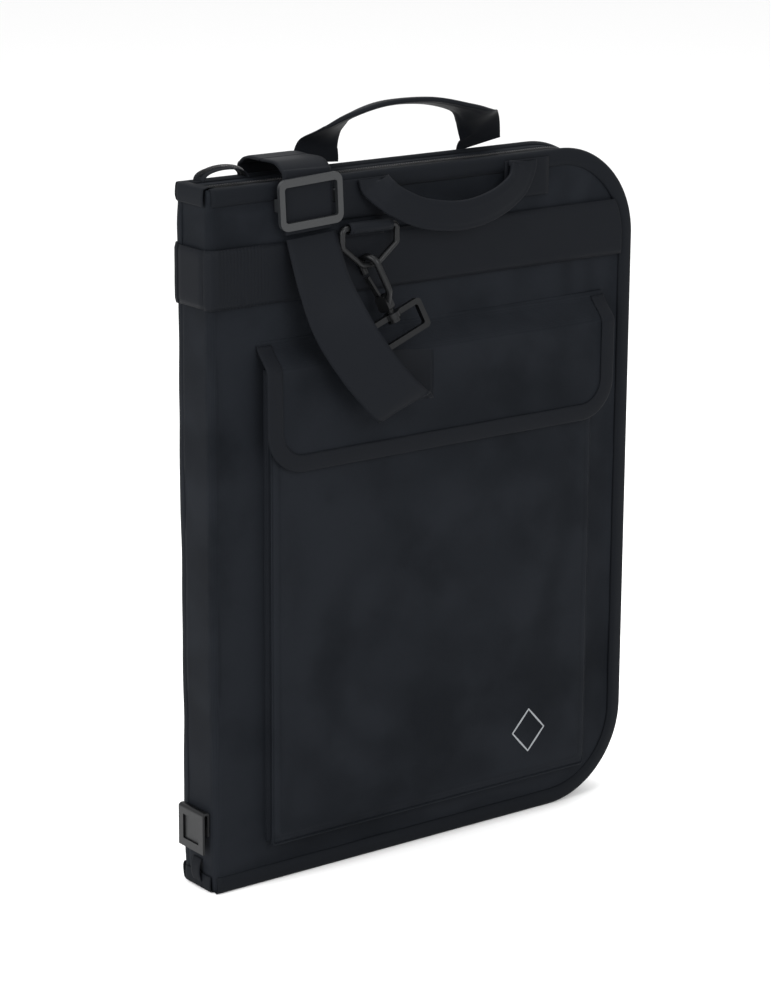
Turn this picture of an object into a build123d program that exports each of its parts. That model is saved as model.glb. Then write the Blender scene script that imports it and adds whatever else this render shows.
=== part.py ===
"""Drum stick bag: two zipped trays on a fabric spine, a flap pocket, handles and a clip-on shoulder strap."""
import os
from math import cos, radians, sin

from build123d import *

os.makedirs("parts", exist_ok=True)

# Driving dimensions, in millimetres. The origin is the middle of the bag's base.
bag_width = 350.0
bag_height = 470.0
bag_depth = 38.0
corner_radius = 65.0
panel_thickness = 4.0
binding_width = 12.0
binding_thickness = 1.4
tape_recess = 2.3
gusset_recess = 1.8
gusset_thickness = 1.6
gusset_width = 7.0
web_width = 38.0
web_thickness = 1.6
band_drop = 58.0
band_thickness = 1.2
body_gap = 0.4
seam_gap = 0.2
coil_stand = 0.6
coil_start = 8.0

# Zipper
tooth_depth = 1.5
tooth_height = 2.0
tape_thickness = 0.8
slit_half = 0.7
slider_length = 12.0
slider_width = 9.0

# Pocket and flap
pocket_left_margin = 39.0
pocket_right_margin = 41.0
pocket_bottom = 28.0
pocket_below_hinge = 18.0
pocket_depth = 10.0
pocket_skin = 1.4
flap_overlap = 5.0
flap_right_overlap = 14.0
flap_length = 85.0
flap_drop = 102.0
closure_rise = 23.0
flap_thickness = 1.8
flap_radius = 28.0

# Inside sleeves for the sticks
sleeve_depth = 6.4
sleeve_count = 5
sleeve_bottom = 12.0
sleeve_height = 318.0
lining_thickness = 0.8

# Handles, strap and metal fittings
front_handle_legs = (-58.0, 78.0)
back_handle_legs = (-64.0, 72.0)
leg_drop = 4.0
leg_length = 25.0
ring_wire = 4.0
ring_below_top = 34.0
ring_drop = 25.0
ring_offset = 116.5
hook_wire = 4.6
slider_frame_width = 47.0
slider_frame_height = 33.0
slider_tilt = 3.0

half = bag_depth / 2
left_edge = -bag_width / 2
right_edge = bag_width / 2
panel_inner = half - panel_thickness
tape_outer = slit_half + tooth_depth
gusset_inner = panel_inner - gusset_width
face = half + binding_thickness
band_height = bag_height - band_drop
leg_top = bag_height - leg_drop
leg_bottom = leg_top - leg_length
ring_height = bag_height - ring_below_top
ring_x = left_edge + ring_offset
flap_hinge_height = bag_height - flap_drop
flap_bottom = flap_hinge_height - flap_length
pocket_left = left_edge + pocket_left_margin
pocket_right = right_edge - pocket_right_margin
pocket_top = flap_hinge_height - pocket_below_hinge
flap_left = pocket_left - flap_overlap
flap_right = pocket_right + flap_right_overlap


def save(builder, name):
    """Label a finished piece and write it."""
    builder.part.label = name
    export_step(builder.part, f"parts/{name}.step")


def slab_plane(side, near, far):
    """The plane from which an extrusion of far - near fills the layer between two depths."""
    return Plane.XZ.offset(-max(side * near, side * far))


def tray_outline(start, inset, mode=Mode.ADD):
    """A tray's outline, square at the spine and round at its two outer corners."""
    right = right_edge - inset
    top = bag_height - inset
    with BuildLine() as edge:
        corners = (start, inset), (right, inset), (right, top), (start, top)
        FilletPolyline(*corners, radius=corner_radius - inset)
        Line((start, top), (start, inset))
    make_face(edge.edges(), mode=mode)


def layer(side, near, far, start, inset, inner_inset=None):
    """A sheet or a U-shaped wall of a tray, as a builder."""
    with BuildPart() as sheet:
        with BuildSketch(slab_plane(side, near, far)):
            tray_outline(start, inset)
            if inner_inset is not None:
                tray_outline(start - 10, inner_inset, mode=Mode.SUBTRACT)
        extrude(amount=far - near)
    return sheet


def plate(side, near, far, x_low, x_high, z_low, z_high, radius=0.0):
    """A rectangular sheet parallel to the tray's panel, as a builder."""
    with BuildPart() as sheet:
        with BuildSketch(slab_plane(side, near, far)) as outline:
            with Locations(((x_low + x_high) / 2, (z_low + z_high) / 2)):
                Rectangle(x_high - x_low, z_high - z_low)
            if radius:
                fillet(outline.vertices(), radius)
        extrude(amount=far - near)
    return sheet


def web_planes(points, facing):
    """Section planes along a strap's centre line: x across the webbing, normal along it."""
    planes = []
    for index, point in enumerate(points):
        before = Vector(*points[max(index - 1, 0)])
        after = Vector(*points[min(index + 1, len(points) - 1)])
        along = (after - before).normalized()
        across = along.cross(Vector(*facing[index])).normalized()
        planes.append(Plane(origin=point, x_dir=across, z_dir=along))
    return planes


# ---------------------------------------------------------------- the two trays
tray_names = {-1: "front", 1: "back"}
for side, tray in tray_names.items():
    start = left_edge + (body_gap if side < 0 else 0.0)
    save(layer(side, panel_inner, half, start, binding_thickness + seam_gap), f"{tray}_panel")
    gusset_start = left_edge + panel_thickness + 2 * binding_thickness
    gusset_far = gusset_recess + gusset_thickness
    save(layer(side, gusset_inner, panel_inner, gusset_start, gusset_recess, gusset_far),
         f"{tray}_gusset")
    save(layer(side, tape_outer, gusset_inner, left_edge + 8, tape_recess, tape_recess + tape_thickness),
         f"{tray}_zipper_tape")
    coil_recess = tape_recess - coil_stand
    save(layer(side, slit_half, tape_outer, left_edge + coil_start, coil_recess, coil_recess + tooth_height),
         f"{tray}_zipper_coil")

    with BuildPart() as binding:
        with BuildSketch(slab_plane(side, panel_inner, face)):
            tray_outline(start, 0.0)
            tray_outline(start - 10, binding_thickness, mode=Mode.SUBTRACT)
        extrude(amount=face - panel_inner)
        with BuildSketch(slab_plane(side, half, face)):
            tray_outline(start, 0.0)
            tray_outline(start - 10, binding_width, mode=Mode.SUBTRACT)
        extrude(amount=binding_thickness)
    save(binding, f"{tray}_binding")

    with BuildPart() as band:
        with BuildSketch(slab_plane(side, half, half + band_thickness)):
            tray_outline(start, binding_width + seam_gap)
            with Locations((0, band_height)):
                Rectangle(bag_width * 2, web_width, mode=Mode.INTERSECT)
        extrude(amount=band_thickness)
    save(band, f"{tray}_band")

    lining_start = left_edge + 6
    save(layer(side, panel_inner - lining_thickness, panel_inner, lining_start, gusset_far),
         f"{tray}_lining")

    sleeve_left = left_edge + 18
    sleeve_right = right_edge - 28
    sleeve_outer = panel_inner - lining_thickness
    sleeve_inner = sleeve_outer - sleeve_depth
    with BuildPart() as sleeve:
        with BuildSketch(slab_plane(side, sleeve_inner, sleeve_inner + 1)):
            with Locations(((sleeve_left + sleeve_right) / 2, sleeve_bottom + sleeve_height / 2)):
                Rectangle(sleeve_right - sleeve_left, sleeve_height)
        extrude(amount=1)
        with BuildSketch(slab_plane(side, sleeve_inner + 1, sleeve_outer)):
            pitch = (sleeve_right - sleeve_left - 1.2) / sleeve_count
            for divider in range(sleeve_count + 1):
                with Locations((sleeve_left + 0.6 + divider * pitch, sleeve_bottom + sleeve_height / 2)):
                    Rectangle(1.2, sleeve_height)
            with Locations(((sleeve_left + sleeve_right) / 2, sleeve_bottom + 0.6)):
                Rectangle(sleeve_right - sleeve_left, 1.2)
        extrude(amount=sleeve_outer - sleeve_inner - 1)
        with BuildSketch(slab_plane(side, sleeve_inner, sleeve_outer)):
            tray_outline(left_edge, gusset_recess + gusset_thickness + 1.5)
        extrude(amount=sleeve_outer - sleeve_inner, mode=Mode.INTERSECT)
    save(sleeve, f"{tray}_stick_sleeves")

    # Handle legs: webbing tabs sewn over the band, one pair on each tray
    with BuildPart() as legs:
        with BuildSketch(slab_plane(side, face, face + web_thickness)):
            for leg_x in front_handle_legs if side < 0 else back_handle_legs:
                with Locations((leg_x, (leg_bottom + leg_top) / 2)):
                    Rectangle(web_width, leg_top - leg_bottom)
        extrude(amount=web_thickness)
    save(legs, f"{tray}_handle_legs")

# ---------------------------------------------------------------- the spine
spine_half = panel_inner - body_gap
with BuildPart() as spine_panel:
    with BuildSketch(Plane.YZ.offset(left_edge)):
        with Locations((0, bag_height / 2)):
            Rectangle(2 * spine_half, bag_height - 2 * (binding_thickness + seam_gap))
    extrude(amount=panel_thickness)
save(spine_panel, "spine_panel")

with BuildPart() as spine_band:
    with BuildSketch(Plane.YZ.offset(left_edge - band_thickness)):
        with Locations((0, band_height)):
            Rectangle(2 * spine_half, web_width)
    extrude(amount=band_thickness)
save(spine_band, "spine_band")

with BuildPart() as spine_binding:
    for middle in (binding_width / 2, bag_height - binding_width / 2):
        with BuildSketch(Plane.YZ.offset(left_edge - binding_thickness)):
            with Locations((0, middle)):
                Rectangle(2 * spine_half, binding_width)
        extrude(amount=panel_thickness + 2 * binding_thickness)
    with BuildSketch(Plane.YZ.offset(left_edge - 0.1)):
        with Locations((0, bag_height / 2)):
            Rectangle(2 * spine_half + 1, bag_height - 2 * binding_thickness)
    extrude(amount=panel_thickness + 0.2, mode=Mode.SUBTRACT)
save(spine_binding, "spine_binding")

# The zipper's two ends are sewn to the spine: a raised loop at the top and a tail at the foot
zip_end_width = 12.0
with BuildPart() as zip_end_top:
    with BuildSketch(Plane.XZ.offset(-zip_end_width / 2)):
        with BuildLine() as loop_line:
            ThreePointArc((left_edge + 5, bag_height + 1.8), (left_edge + 20, bag_height + 8),
                          (left_edge + 38, bag_height + 1.8))
        trace(loop_line.edges(), line_width=2.6)
    extrude(amount=zip_end_width)
save(zip_end_top, "zip_end_top")

with BuildPart() as zip_end_foot:
    with BuildSketch(Plane.YZ.offset(left_edge - 3.6)):
        with Locations((0, 11)):
            Rectangle(10, 20)
    extrude(amount=3.6 - binding_thickness)
save(zip_end_foot, "zip_end_foot")

# ---------------------------------------------------------------- rim hook on the spine
rim_hook_width = 34.0
rim_hook_height = 28.0
rim_hook_top = 56.0
rim_hook_sheet = 1.6
rim_gap = 5.0
hook_out = left_edge - binding_thickness - rim_gap
with BuildPart() as rim_hook:
    with BuildSketch(Plane.XZ.offset(-min(spine_half - 0.4, rim_hook_width / 2))):
        with BuildLine() as hook_line:
            FilletPolyline(
                (left_edge - 2.4, rim_hook_top - rim_hook_height + 12),
                (left_edge - 2.4, rim_hook_top),
                (hook_out, rim_hook_top),
                (hook_out, rim_hook_top - rim_hook_height),
                radius=1.6,
            )
        trace(hook_line.edges(), line_width=rim_hook_sheet)
    extrude(amount=2 * min(spine_half - 0.4, rim_hook_width / 2))
    with BuildSketch(Plane.YZ.offset(hook_out - 3)):
        with Locations((0, rim_hook_top - rim_hook_height / 2)):
            Rectangle(18, rim_hook_height - 11)
    extrude(amount=3.4, mode=Mode.SUBTRACT)
save(rim_hook, "rim_hook")

# ---------------------------------------------------------------- front pocket
pocket_face = half + pocket_depth
with BuildPart() as pocket_gusset:
    with BuildSketch(slab_plane(-1, half, pocket_face - pocket_skin)):
        with Locations(((pocket_left + pocket_right) / 2, (pocket_bottom + pocket_top) / 2)):
            Rectangle(pocket_right - pocket_left, pocket_top - pocket_bottom)
        with Locations(((pocket_left + pocket_right) / 2, (pocket_bottom + pocket_top) / 2 + pocket_skin)):
            pocket_room = pocket_right - pocket_left - 2 * pocket_skin
            Rectangle(pocket_room, pocket_top - pocket_bottom, mode=Mode.SUBTRACT)
    extrude(amount=pocket_depth - pocket_skin)
save(pocket_gusset, "pocket_gusset")
save(plate(-1, pocket_face - pocket_skin, pocket_face, pocket_left, pocket_right, pocket_bottom, pocket_top),
     "pocket_front")

closure_x = (flap_left + flap_right) / 2
closure_z = flap_bottom + closure_rise
closure_thickness = 0.8
save(plate(-1, pocket_face, pocket_face + closure_thickness, closure_x - 60, closure_x + 60,
           closure_z - 11, closure_z + 11), "closure_loop_strip")

# ---------------------------------------------------------------- pocket flap, hinged along its top seam
flap_inner = pocket_face + 2 * closure_thickness + body_gap
flap_face = flap_inner + flap_thickness
flap_shoulder = flap_hinge_height - 16
with BuildPart() as pocket_flap:
    with BuildSketch(Plane.YZ.offset(flap_left)):
        with BuildLine():
            Polyline(
                (-half - 0.5, flap_hinge_height + 0.8),
                (-half - 0.5, flap_hinge_height - 0.8),
                (-flap_inner, flap_shoulder - 1),
                (-flap_inner, flap_bottom),
                (-flap_face, flap_bottom),
                (-flap_face, flap_shoulder),
                (-half - 2.6, flap_hinge_height + 0.8),
                close=True,
            )
        make_face()
    extrude(amount=flap_right - flap_left)
    foot_corners = pocket_flap.edges().filter_by(Axis.Y).group_by(Axis.Z)[0]
    fillet(foot_corners, flap_radius)
save(pocket_flap, "pocket_flap")

with BuildPart() as flap_binding:
    with BuildSketch(Plane.XZ.offset(flap_face)) as tape:
        with Locations(((flap_left + flap_right) / 2, (flap_bottom + flap_shoulder - 2) / 2)):
            Rectangle(flap_right - flap_left, flap_shoulder - 2 - flap_bottom)
        fillet(tape.vertices().group_by(Axis.Y)[0], flap_radius)
        with BuildSketch(mode=Mode.SUBTRACT) as inner:
            with Locations(((flap_left + flap_right) / 2, (flap_bottom + flap_shoulder - 2) / 2 + 11)):
                Rectangle(flap_right - flap_left - 22, flap_shoulder - 2 - flap_bottom)
            fillet(inner.vertices().group_by(Axis.Y)[0], flap_radius - 11)
    extrude(amount=0.9)
save(flap_binding, "flap_binding")

save(plate(-1, pocket_face + closure_thickness + body_gap, flap_inner, closure_x - 60, closure_x + 60,
           closure_z - 11, closure_z + 11), "closure_hook_strip")

# ---------------------------------------------------------------- carrying handles
handle_pivot = face + web_thickness / 2 + 2.0
handle_pivot_height = leg_top + 3.0
grip_width = 20.0
grip_thickness = 5.0
front_grip = ((-52, 3.8, -4.6), (-51.5, 5.4, -8), (-47, 10.5, -14), (-39, 13.2, -20), (-18, 14.8, -29),
              (12, 15.6, -33), (40, 13.6, -29), (62, 9, -20), (71, 5, -10), (72, 3.8, -4.6))
with BuildPart() as front_handle:
    front_points = [(x, -face - out, bag_height + rise) for x, out, rise in front_grip]
    for plane in web_planes(front_points, [(0, -1, 0)] * len(front_grip)):
        with BuildSketch(plane):
            Rectangle(grip_width, grip_thickness - 1.4)
    loft(ruled=True)
    for leg_x in front_handle_legs:
        with Locations((leg_x, -handle_pivot, handle_pivot_height)):
            Box(web_width, web_thickness, 5)
save(front_handle, "front_handle")

back_grip = ((-64, 2.8, 1, web_width), (-63, 1, 13, web_width - 4), (-58, -8, 24, web_width - 10),
             (-49, -17, 33, grip_width), (-24, -20, 39, grip_width), (10, -20, 38, grip_width),
             (40, -18, 31, grip_width), (56, -12, 23, web_width - 12), (69, -2, 13, web_width - 4),
             (72, 2.8, 1, web_width))
back_facing = ((0, 1, 0.2), (0, 1, 0.3), (-0.3, 0.8, 0.8), (-0.3, 0.4, 1), (-0.1, 0.2, 1), (0.1, 0.2, 1),
               (0.3, 0.3, 1), (0.4, 0.8, 0.8), (0, 1, 0.3), (0, 1, 0.2))
with BuildPart() as back_handle:
    points = [(x, face + out, bag_height + rise) for x, out, rise, width in back_grip]
    for plane, (x, out, rise, width) in zip(web_planes(points, back_facing), back_grip):
        with BuildSketch(plane):
            Rectangle(width, grip_thickness - 1 if width == grip_width else web_thickness + 0.6)
    loft(ruled=True)
save(back_handle, "back_handle")

# ---------------------------------------------------------------- rings, snap hooks and shoulder strap
ring_out = face + 8.6
ring_half = web_width / 2 + 0.8 + ring_wire / 2
tab_wrap = 1.4
hook_lean = 0.387
hook_kick = 0.211
hook_bowl = 6.4
hook_turn = 20.0
bowl_drop = 0.9
strap_out = face + 4.6
swivel_neck = 2.4
swivel_clearance = 0.08
base_start = 35.0
base_end = 56.0
base_bar = 3.6
strap_front_leg = ((73, 4.6, -35.7), (75, 16.6, -66), (81, 28.6, -93), (95, 35.6, -118), (109, 39.1, -136))
strap_fold = ((118, 39.6, -145), (125, 35.6, -148.5), (129.5, 29.6, -145), (133.5, 25.1, -129),
              (136.4, 20.8, -115.2))
strap_facing = ((0, 1, 0), (0.15, 1, 0.3), (0.45, 0.85, 0.4), (0.5, 0.8, 0.3), (0.5, 0.8, 0.1),
                (0.4, 0.6, -0.7), (0.1, 0, -1), (-0.4, -0.7, -0.4), (-0.3, -0.9, 0.1), (-0.1, -1, 0.2))
arch = ((72, 4.6, -32.8), (70.2, 4.6, 1), (70, 2.1, 7), (70, -5.4, 11), (70, 0.6 - face, 11))
arch_facing = ((0, 1, 0), (0, 1, 0.1), (0, 0.7, 0.7), (0, 0.2, 1), (0, 0, 1))

for side, tray in tray_names.items():
    with BuildPart() as tab:
        with BuildSketch(Plane.YZ.offset(ring_x - web_width / 2 + 2)):
            with Locations((side * ring_out, ring_height)):
                Circle(ring_wire / 2 + body_gap + tab_wrap)
            with Locations((side * (face + tab_wrap / 2), ring_height - 2)):
                Rectangle(tab_wrap, 13)
            with Locations((side * (face + ring_out) / 2, ring_height)):
                Rectangle(ring_out - face, 2 * tab_wrap)
            with Locations((side * ring_out, ring_height)):
                Circle(ring_wire / 2 + body_gap, mode=Mode.SUBTRACT)
        extrude(amount=web_width - 4)
    save(tab, f"{tray}_ring_tab")

    with BuildPart() as ring:
        with BuildLine(Plane.XZ.offset(-side * ring_out)) as ring_line:
            FilletPolyline(
                (ring_x - ring_half, ring_height),
                (ring_x + ring_half, ring_height),
                (ring_x + ring_half, ring_height - 12),
                (ring_x + 6, ring_height - ring_drop),
                (ring_x - 6, ring_height - ring_drop),
                (ring_x - ring_half, ring_height - 12),
                radius=3,
                close=True,
            )
        with BuildSketch(Plane(origin=(ring_x, side * ring_out, ring_height), z_dir=(1, 0, 0))):
            Circle(ring_wire / 2)
        sweep(path=ring_line.line)
    save(ring, f"{tray}_d_ring")

    apex = Vector(ring_x, side * ring_out, ring_height - ring_drop)
    down = Vector(hook_lean, side * hook_kick, -1).normalized()
    outward = (Vector(0, side, 0) - down * (down.Y * side)).normalized()
    across = down.cross(outward)
    turned = outward * cos(radians(hook_turn)) + across * side * sin(radians(hook_turn))
    hook_plane = Plane(origin=apex, x_dir=turned, z_dir=down.cross(turned))
    pivot_point = (-3.5, -25)

    with BuildPart() as hook:
        with BuildLine(hook_plane) as hook_wire_line:
            bend = FilletPolyline((0, -30), (hook_bowl, -20), (hook_bowl, -bowl_drop), radius=5)
            ThreePointArc((hook_bowl, -bowl_drop), (0, hook_bowl - bowl_drop), (-hook_bowl, -bowl_drop))
            Line((-hook_bowl, -bowl_drop), (-hook_bowl, -5.5))
        with BuildSketch(Plane(origin=bend @ 0, z_dir=bend % 0)):
            Circle(hook_wire / 2)
        sweep(path=hook_wire_line.line)
        with BuildSketch(hook_plane.offset(-3.4)):
            with Locations((-1.2, -27.5)):
                RectangleRounded(8.6, 11, 2)
        extrude(amount=6.8)
        with BuildSketch(hook_plane.offset(-1.6)):
            with Locations((-3.6, -24.6)):
                Rectangle(6.6, 9)
        extrude(amount=3.2, mode=Mode.SUBTRACT)
        with BuildSketch(hook_plane.offset(-3)):
            with Locations(pivot_point):
                Circle(0.9)
        extrude(amount=6)
        with BuildSketch(Plane(origin=apex + down * 32, z_dir=down)):
            Circle(swivel_neck)
        extrude(amount=7.2)
        with BuildSketch(Plane(origin=apex + down * (base_start + base_bar + body_gap), z_dir=down)):
            Circle(swivel_neck + 1.8)
        extrude(amount=2.4)
    save(hook, f"{tray}_snap_hook")

    with BuildPart() as gate:
        with BuildSketch(hook_plane.offset(-1.1)):
            with BuildLine() as gate_line:
                Polyline((-hook_bowl - 1.2, -8.2), (-hook_bowl + 1.6, -8.2), (-1.9, -24.4), (-3.5, -26.6),
                         (-5.4, -25.4), (-hook_bowl - 1.2, -8.2))
            make_face()
            with Locations(pivot_point):
                Circle(1.2, mode=Mode.SUBTRACT)
        extrude(amount=2.2)
    save(gate, f"{tray}_hook_gate")

    base_plane = Plane(origin=apex, x_dir=across, z_dir=outward)
    with BuildPart() as base:
        with BuildSketch(base_plane.offset(-2)):
            with Locations((0, (base_start + base_end) / 2)):
                RectangleRounded(web_width + 9, base_end - base_start, 3)
                base_window = base_end - base_start - 2 * base_bar
                RectangleRounded(web_width + 1.6, base_window, 1.5, mode=Mode.SUBTRACT)
        extrude(amount=4)
        with BuildSketch(Plane(origin=apex + down * base_start, z_dir=down)):
            Circle(swivel_neck + 3.2)
        extrude(amount=base_bar)
        with BuildSketch(Plane(origin=apex + down * (base_start - 1), z_dir=down)):
            Circle(swivel_neck + swivel_clearance)
        extrude(amount=base_bar + 2, mode=Mode.SUBTRACT)
    save(base, f"{tray}_swivel_base")

    strap_route = strap_front_leg + strap_fold
    strap_points = [(left_edge + x, side * (face + out), bag_height + rise) for x, out, rise in strap_route]
    facing = [(x, side * y, z) for x, y, z in strap_facing]
    with BuildPart() as strap:
        for plane in web_planes(strap_points, facing):
            with BuildSketch(plane):
                Rectangle(web_width, web_thickness)
        loft(ruled=True)
    save(strap, f"{tray}_strap_loop")

    arch_points = [(left_edge + x, side * (face + out), bag_height + rise) for x, out, rise in arch]
    facing = [(x, side * y, z) for x, y, z in arch_facing]
    with BuildPart() as run:
        for plane in web_planes(arch_points, facing):
            with BuildSketch(plane):
                Rectangle(web_width, web_thickness)
        loft(ruled=True)
    save(run, f"{tray}_strap_run")

# ---------------------------------------------------------------- strap length adjuster
adjuster_turn = radians(slider_tilt)
frame_origin = (left_edge + 71, -strap_out, bag_height - 13.5)
frame_plane = Plane(origin=frame_origin, x_dir=(cos(adjuster_turn), 0, sin(adjuster_turn)), z_dir=(0, -1, 0))
web_side = web_width / 2 + 1.4
with BuildPart() as adjuster:
    with BuildSketch(frame_plane.offset(1.2)):
        RectangleRounded(slider_frame_width + 2, slider_frame_height, 6)
        RectangleRounded(2 * web_side, slider_frame_height - 10, 2, mode=Mode.SUBTRACT)
    extrude(amount=2.8)
    with BuildSketch(frame_plane.offset(-3.6)):
        with Locations((-web_side - 1.8, 0), (web_side + 1.8, 0)):
            Rectangle(3.2, 8)
    extrude(amount=5)
    with BuildSketch(frame_plane.offset(-3.6)):
        Rectangle(2 * web_side + 6.8, 6)
    extrude(amount=2.2)
save(adjuster, "strap_adjuster")

# ---------------------------------------------------------------- zipper sliders and their pulls
coil_out = right_edge - tape_recess + 0.6
coil_in = coil_out - tooth_height
slider_heights = {"upper": 276.0, "lower": 236.0}
pin_stand = 2.1
for name, height in slider_heights.items():
    lug_x = coil_out + body_gap + 1.2
    with BuildPart() as zip_slider:
        for plate_x in (coil_in - body_gap - 1, coil_out + body_gap):
            with BuildSketch(Plane.YZ.offset(plate_x)):
                with Locations((0, height)):
                    RectangleRounded(slider_width, slider_length, 2)
            extrude(amount=1.2)
        with BuildSketch(Plane.YZ.offset(coil_in - body_gap)):
            with Locations((0, height)):
                Rectangle(2 * (slit_half - 0.3), slider_length - 4)
        extrude(amount=coil_out - coil_in + 2 * body_gap)
        with BuildSketch(Plane.XZ.offset(-1)):
            with Locations((lug_x + 1.75, height)):
                Rectangle(3.9, 6)
            with Locations((lug_x + pin_stand, height)):
                Circle(0.9, mode=Mode.SUBTRACT)
        extrude(amount=2)
    save(zip_slider, f"{name}_zip_slider")
    pull_x = lug_x + pin_stand
    with BuildPart() as pull:
        for ear in (1.3, -2.5):
            with BuildSketch(Plane.XZ.offset(ear)):
                with Locations((pull_x, height - 2)):
                    Rectangle(2, 7)
            extrude(amount=1.2)
        with BuildSketch(Plane.XZ.offset(-2)):
            with Locations((pull_x, height)):
                Circle(0.6)
        extrude(amount=4)
        with BuildSketch(Plane.YZ.offset(pull_x - 0.7)):
            with Locations((0, height - 15)):
                RectangleRounded(8, 20, 2)
        extrude(amount=1.4)
    save(pull, f"{name}_zip_pull")
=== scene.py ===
import math
import bmesh
import bpy
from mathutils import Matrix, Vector, noise


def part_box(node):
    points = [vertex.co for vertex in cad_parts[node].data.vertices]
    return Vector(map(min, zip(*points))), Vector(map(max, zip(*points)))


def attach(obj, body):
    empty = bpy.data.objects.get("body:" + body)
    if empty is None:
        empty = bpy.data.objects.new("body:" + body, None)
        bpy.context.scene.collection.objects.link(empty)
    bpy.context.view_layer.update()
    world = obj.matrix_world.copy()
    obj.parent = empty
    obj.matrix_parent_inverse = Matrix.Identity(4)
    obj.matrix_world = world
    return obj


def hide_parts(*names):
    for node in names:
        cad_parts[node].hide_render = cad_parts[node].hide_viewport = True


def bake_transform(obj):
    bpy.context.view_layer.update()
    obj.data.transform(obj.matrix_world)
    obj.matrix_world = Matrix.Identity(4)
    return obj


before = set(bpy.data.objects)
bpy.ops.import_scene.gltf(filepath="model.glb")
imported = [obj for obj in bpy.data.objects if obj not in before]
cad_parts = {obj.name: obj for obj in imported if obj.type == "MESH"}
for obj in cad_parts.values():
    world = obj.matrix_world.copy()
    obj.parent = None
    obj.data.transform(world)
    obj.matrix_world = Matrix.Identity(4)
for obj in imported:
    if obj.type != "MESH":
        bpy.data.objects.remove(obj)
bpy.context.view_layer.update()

# ---------------------------------------------------------------- Camera and studio
# A long lens a little above the bag, looking at its spine corner from the left.
# A pale floor runs into the background and large soft lamps light the black cloth.
eye = Vector((-1.2501, -1.6217, 0.7976))
gaze = Vector((0.5822, 0.7691, -0.2637))
camera_data = bpy.data.cameras.new("camera")
camera_data.lens = 112.9
camera_data.sensor_width = 36
camera = bpy.data.objects.new("camera", camera_data)
bpy.context.collection.objects.link(camera)
camera.location = eye
camera.rotation_euler = gaze.to_track_quat("-Z", "Y").to_euler()
camera.rotation_euler.rotate_axis("Z", math.radians(0.31))
bpy.context.scene.camera = camera
bpy.context.scene.view_settings.view_transform = "Standard"


def plain_material(name, colour, roughness):
    material = bpy.data.materials.new(name)
    material.use_nodes = True
    shader = material.node_tree.nodes["Principled BSDF"]
    shader.inputs["Base Color"].default_value = (*colour, 1)
    shader.inputs["Roughness"].default_value = roughness
    return material


floor_bm = bmesh.new()
bmesh.ops.create_grid(floor_bm, x_segments=1, y_segments=1, size=6)
floor_mesh = bpy.data.meshes.new("studio_floor")
floor_bm.to_mesh(floor_mesh)
floor_bm.free()
floor = bpy.data.objects.new("studio_floor", floor_mesh)
bpy.context.collection.objects.link(floor)
floor_mesh.materials.append(plain_material("floor_paper", (0.93, 0.93, 0.93), 0.9))


def soft_lamp(name, place, aim, size, watts):
    lamp_data = bpy.data.lights.new(name, "AREA")
    lamp_data.shape = "RECTANGLE"
    lamp_data.size, lamp_data.size_y = size
    lamp_data.energy = watts
    lamp = bpy.data.objects.new(name, lamp_data)
    bpy.context.collection.objects.link(lamp)
    lamp.location = place
    lamp.rotation_euler = (Vector(aim) - Vector(place)).to_track_quat("-Z", "Y").to_euler()


soft_lamp("left_window", (-2.2, -0.2, 1.1), (0, 0, 0.25), (1.6, 1.8), 45)
soft_lamp("front_window", (-0.2, -2.6, 1.5), (0, 0, 0.25), (1.8, 1.4), 40)
soft_lamp("top_box", (0.2, 0.2, 2.4), (0, 0, 0.3), (1.8, 1.8), 40)
world = bpy.data.worlds.new("studio")
bpy.context.scene.world = world
world.use_nodes = True
world.node_tree.nodes["Background"].inputs["Color"].default_value = (1, 1, 1, 1)
world.node_tree.nodes["Background"].inputs["Strength"].default_value = 1.0

# ---------------------------------------------------------------- Outer cover
# Black coated nylon over a thin foam board: one cloth that goes round the spine from tray to tray.
# Each half is a skin from the middle of the spine round a soft corner.
corner = 0.065
wide, tall, half_depth = 0.175, 0.470, 0.019


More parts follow.
